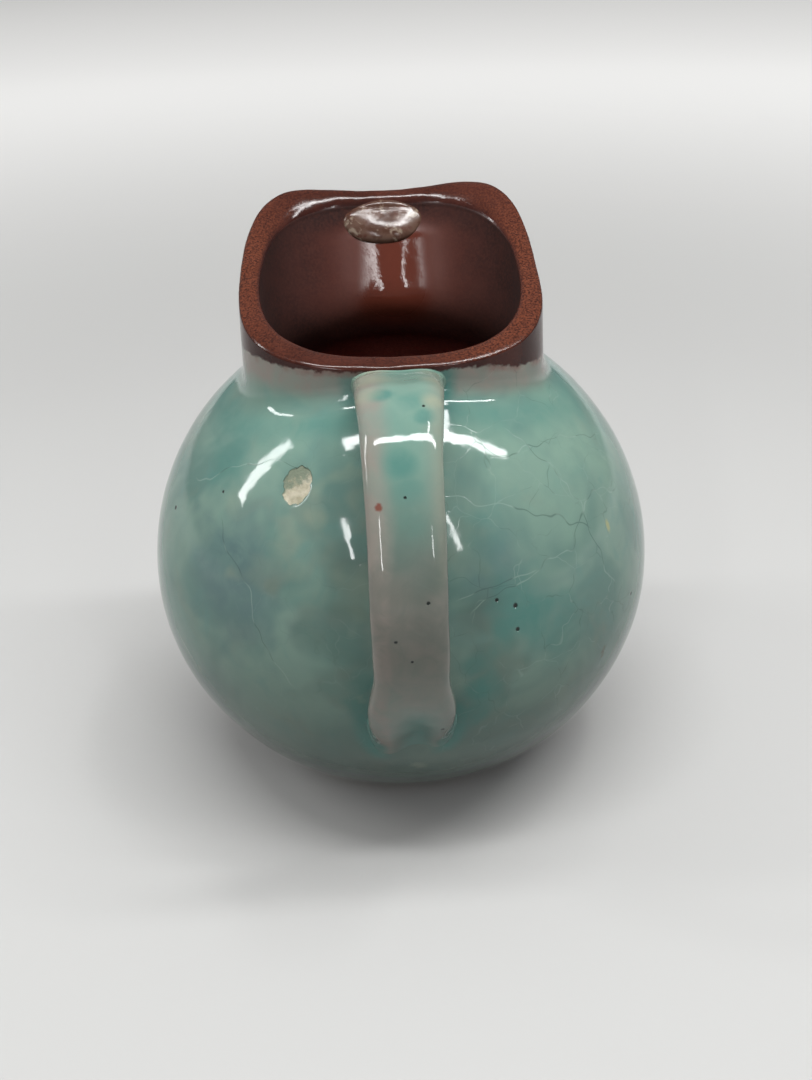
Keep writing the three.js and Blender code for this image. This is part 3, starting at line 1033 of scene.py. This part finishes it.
def make_foot():
    """The unglazed clay that carries the globe's curve down to the table."""
    top_radius = GLOBE_RADIUS * math.cos(math.asin((SOLE - GLOBE_HEIGHT) / GLOBE_DROP))
    flat = np.array([FOOT_FLAT_RADIUS - 1.0, 0.0])
    corner = np.array([FOOT_FLAT_RADIUS + FOOT_EDGE, 0.0])
    top = np.array([top_radius, SOLE])
    rise = mix(corner, top, FOOT_ROUND_SHARE)
    profile = [np.array([radius, 0.0]) for radius in np.linspace(2, FOOT_FLAT_RADIUS - 3, FOOT_FLAT_ROWS)]
    profile += round_corner(flat, corner, rise, FOOT_EDGE_ROWS)
    profile += [mix(rise, top, share) for share in np.linspace(0, 1, FOOT_SIDE_ROWS)[1:]]
    profile += [np.array([radius, SOLE]) for radius in np.linspace(top_radius - 3, 2, FOOT_TOP_ROWS)]
    grid = np.array([ring_of(radius, height, FOOT_COLUMNS) for radius, height in profile])
    height = grid[:, :, 2]
    on_side = smoothstep(0.05, 1.0, height) * (height < SOLE - 0.3)
    grid[:, :, 2] += FOOT_UNEVENNESS * wobble(grid, 8, 13) * on_side
    normals = grid_normals(grid)
    normals[:FOOT_FLAT_ROWS] = [0, 0, -1]
    normals[-FOOT_TOP_ROWS:] = [0, 0, 1]
    return closed_piece("foot_pad", grid, normals, {})


PATCH_CENTRE = (-0.8, 81.0)  # across, and above the globe's centre
PATCH_HALF_WIDTH, PATCH_HALF_HEIGHT = 10.0, 5.0
PATCH_THICKNESS, PATCH_SUNK, PATCH_EDGE = 1.7, 0.5, 0.02
PATCH_COLUMNS, PATCH_ROWS = 90, 16


def make_pale_patch(tree):
    """A raised, lens-like run of pale glaze on the inner wall, under the front of the rim."""
    angle = turns(PATCH_COLUMNS)
    ragged = 1 + 0.04 * np.sin(2 * angle + 0.6) + 0.02 * np.sin(5 * angle)
    front, back = [], []
    for share in np.linspace(0, 1, PATCH_ROWS)[1:]:
        ring_front, ring_back = [], []
        for turn, reach in zip(angle, ragged):
            across = PATCH_CENTRE[0] + PATCH_HALF_WIDTH * share * reach * math.cos(turn)
            height = GLOBE_HEIGHT + PATCH_CENTRE[1] + PATCH_HALF_HEIGHT * share * reach * math.sin(turn)
            place, normal, _, _ = tree.ray_cast(Vector((across, 5.0, height)), Vector((0, 1, 0)))
            thickness = PATCH_THICKNESS * (1 - share ** 2.2) ** 0.8
            ring_front.append(place + normal * (thickness + PATCH_EDGE))
            ring_back.append(place - normal * PATCH_SUNK)
        front.append(ring_front)
        back.append(ring_back)
    grid = np.array([np.array(ring) for ring in front + [back[-1]]])
    normals = -grid_normals(grid)
    grid, normals = grid[:, ::-1], normals[:, ::-1]
    return closed_piece("glaze_run", grid, normals, {})


# -------- the pieces
def make_pieces():
    skin = Skin()
    tree = BVHTree.FromPolygons(
        skin.points.reshape(-1, 3).tolist(),
        grid_faces(len(skin.points), AROUND),
    )
    handle_shape = Handle(tree)
    fields = vessel_fields(skin, handle_shape)
    globe_rows = np.r_[0:skin.seam_out + 1, skin.seam_in:len(skin.points)]
    collar_rows = np.r_[skin.seam_out:skin.seam_in + 1]

    def part_of_skin(name, rows, looped):
        chosen = {field: values[rows] for field, values in fields.items()}
        return closed_piece(name, skin.points[rows], skin.normals[rows], chosen, looped)

    globe = part_of_skin("globe", globe_rows, False)
    collar = part_of_skin("collar", collar_rows, True)
    handle = closed_piece("handle", handle_shape.points, handle_shape.normals, handle_fields(handle_shape))
    foot = make_foot()
    run = make_pale_patch(tree)

    strap_pinholes = [
        (on_strap(handle_shape, along, across), radius) for along, across, radius in STRAP_PINHOLES
    ]
    glazes = glaze_material(strap_pinholes, on_strap(handle_shape, *RUST_SPOT))
    clay, pale = bare_clay_material(), pale_glaze_material()
    for piece, material, slot in (
        (globe, glazes, "turquoise_glaze"),
        (collar, glazes, "brown_glaze"),
        (handle, glazes, "turquoise_glaze"),
        (foot, clay, "bare_clay"),
        (run, pale, "pale_glaze"),
    ):
        piece.data.materials.append(material)
        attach(piece, "root")
    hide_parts("globe_body")
    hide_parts("mouth_collar")
    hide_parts("strap_handle")
    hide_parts("foot")


make_pieces()

# -------- camera
CAMERA_DISTANCE = 5.0 * GLOBE_RADIUS
CAMERA_ELEVATION = 29.0
CAMERA_AZIMUTH = -2.6
CAMERA_ROLL = 1.6
CAMERA_SENSOR, CAMERA_LENS = 36.0, 39.8
CAMERA_AIM_RIGHT, CAMERA_AIM_UP = 1.4, 2.7  # the pitcher sits a little left of and below the middle


def make_camera():
    data = bpy.data.cameras.new("camera")
    data.sensor_width = CAMERA_SENSOR
    data.lens = CAMERA_LENS
    camera = add_object("camera", data)
    back = Vector(direction(CAMERA_AZIMUTH, CAMERA_ELEVATION))
    right = Vector(direction(CAMERA_AZIMUTH + 90, 0))
    target = Vector(GLOBE_CENTRE)
    camera.location = (target + back * CAMERA_DISTANCE) * MM
    aim = target + right * CAMERA_AIM_RIGHT + back.cross(right) * CAMERA_AIM_UP
    look = (aim * MM - camera.location).to_track_quat("-Z", "Y")
    camera.rotation_mode = "QUATERNION"
    camera.rotation_quaternion = look @ Quaternion((0, 0, 1), math.radians(-CAMERA_ROLL))
    bpy.context.scene.camera = camera


make_camera()

# -------- light
SKY_STRENGTH = 0.26
SKY_COLOUR = (1.0, 0.99, 0.97, 1.0)
CEILING_SIZE, CEILING_HEIGHT, CEILING_RADIANCE = 7000, 3000, 0.8
# strip lights: two ends in mm, width in mm, radiance
STRIPS = [
    ((-360, -175, 930), (820, -160, 900), 84, 44),  # a long tube overhead
    ((295, -160, 930), (290, 60, 950), 55, 37),  # a short one that meets it
    ((-640, 60, 780), (-890, 35, 400), 85, 26),  # a wide one to the left
    ((-400, -610, 690), (-340, -815, 450), 42, 32),  # two small ones on the handle's side, left
    ((289, -694, 690), (350, -780, 470), 38, 32),  # and right
]


def add_lamp(name, place, axes, length, width, radiance):
    """A rectangular light; `axes` are its length, its width, and the direction it shines away from."""
    light = bpy.data.lights.new(name, "AREA")
    light.shape = "RECTANGLE"
    light.size, light.size_y = length * MM, width * MM
    light.energy = radiance * math.pi * light.size * light.size_y
    lamp = add_object(name, light)
    lamp.matrix_world = Matrix.LocRotScale(place * MM, Matrix(axes).transposed(), None)
    return lamp


def make_strip(index, start, end, width, radiance):
    one, two = Vector(start), Vector(end)
    centre, along = (one + two) / 2, (two - one).normalized()
    side = (centre - Vector(GLOBE_CENTRE)).cross(along).normalized()
    add_lamp(f"strip_{index}", centre, (along, side, along.cross(side)), (two - one).length, width, radiance)


def make_ceiling():
    """A wide soft light high above, which doesn't show in the glaze."""
    axes = (Vector((1, 0, 0)), Vector((0, 1, 0)), Vector((0, 0, 1)))
    place = Vector((0, 0, CEILING_HEIGHT))
    ceiling = add_lamp("ceiling", place, axes, CEILING_SIZE, CEILING_SIZE, CEILING_RADIANCE)
    ceiling.visible_glossy = False


def make_sky():
    world = bpy.data.worlds.new("studio")
    bpy.context.scene.world = world
    world.use_nodes = True
    background = world.node_tree.nodes["Background"]
    background.inputs["Color"].default_value = SKY_COLOUR
    background.inputs["Strength"].default_value = SKY_STRENGTH


for index, strip in enumerate(STRIPS):
    make_strip(index, *strip)
make_ceiling()
make_sky()

# -------- floor
FLOOR_INNER_RADIUS, FLOOR_RADIUS = 50, 9000.0
FLOOR_COLUMNS, FLOOR_RINGS = 64, 12
GREY_WITHIN, WHITE_BEYOND = 300, 1500  # distances on the floor, in mm


def make_floor():
    """A wide disc of paper, greyer round the pitcher."""
    radii = np.linspace(FLOOR_INNER_RADIUS, FLOOR_RADIUS, FLOOR_RINGS)
    rings = [ring_of(radius, 0.0, FLOOR_COLUMNS) for radius in radii]
    points = np.concatenate(rings)
    faces = [face[::-1] for face in grid_faces(len(rings), FLOOR_COLUMNS)]
    faces.append(tuple(range(FLOOR_COLUMNS)))
    mesh = bpy.data.meshes.new("floor")
    mesh.from_pydata((points * MM).tolist(), [], faces)
    mesh.shade_smooth()
    n = Nodes("floor_paper")
    far = n.ramp(n.distance((0, 0, 0)), GREY_WITHIN, WHITE_BEYOND)
    colour = n.blend(far, (150, 150, 149), (250, 250, 249))
    mesh.materials.append(n.finish(colour, 0.9, n.times(n.noise(2, 1, 52), 0.02)))
    floor = add_object("floor", mesh)


make_floor()
bpy.context.scene.view_settings.view_transform = "Standard"
